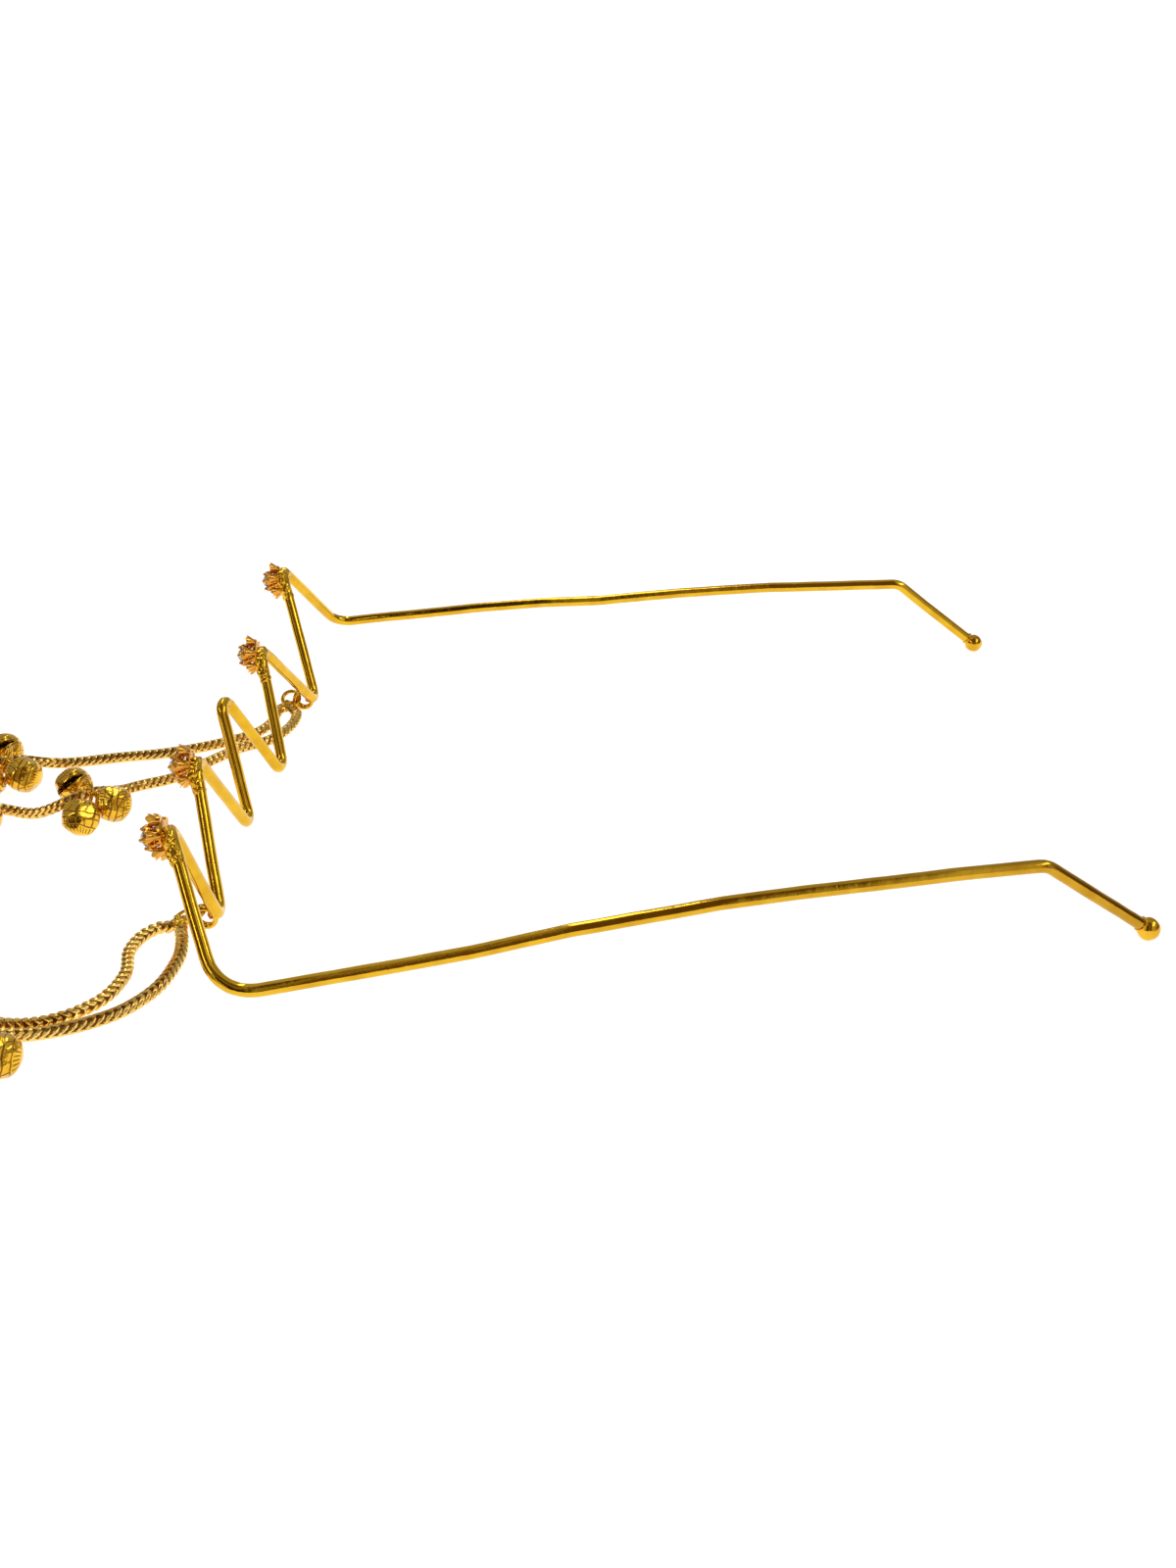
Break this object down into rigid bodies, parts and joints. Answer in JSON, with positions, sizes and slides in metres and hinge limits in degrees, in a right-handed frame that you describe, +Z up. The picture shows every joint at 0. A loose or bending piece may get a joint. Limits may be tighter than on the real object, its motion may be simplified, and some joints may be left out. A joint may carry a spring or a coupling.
{
  "type": "face chain",
  "caption": "Gold face chain: a bent wire frame worn like spectacles, with a zigzag brow set with small stone rosettes and two hanging chains of little round bells.",
  "frame": {"origin": "middle of the footprint, on the table that the piece lies on", "axes": "+X towards the wearer's left, +Y back along the arms towards the ears, +Z up from the table"},
  "size_m": [0.166, 0.251, 0.0271],
  "materials": {
    "polished_gold": "polished",
    "chain_gold": "polished",
    "bell_gold": "polished",
    "clear_stone": "polished"
  },
  "bodies": {
    "root": {"frame_wire": "polished_gold", "end_ring_far": "polished_gold", "end_ring_near": "polished_gold", "chain_outer": "chain_gold", "chain_inner": "chain_gold", "ring_outer_1": "bell_gold", "ring_outer_2": "bell_gold", "ring_outer_3": "bell_gold", "ring_outer_4": "bell_gold", "ring_inner_1": "bell_gold", "ring_inner_2": "bell_gold", "ring_inner_3": "bell_gold", "ring_inner_4": "bell_gold", "bell_outer_1a": "bell_gold", "bell_outer_1b": "bell_gold", "bell_outer_1c": "bell_gold", "bell_outer_2a": "bell_gold", "bell_outer_2b": "bell_gold", "bell_outer_2c": "bell_gold", "bell_outer_3a": "bell_gold", "bell_outer_3b": "bell_gold", "bell_outer_3c": "bell_gold", "bell_outer_4a": "bell_gold", "bell_outer_4b": "bell_gold", "bell_outer_4c": "bell_gold", "bell_inner_1a": "bell_gold", "bell_inner_1b": "bell_gold", "bell_inner_1c": "bell_gold", "bell_inner_2a": "bell_gold", "bell_inner_2b": "bell_gold", "bell_inner_2c": "bell_gold", "bell_inner_3a": "bell_gold", "bell_inner_3b": "bell_gold", "bell_inner_3c": "bell_gold", "bell_inner_4a": "bell_gold", "bell_inner_4b": "bell_gold", "bell_inner_4c": "bell_gold", "stone_1": "clear_stone", "stone_2": "clear_stone", "stone_3": "clear_stone", "stone_4": "clear_stone"}
  },
  "joints": []
}
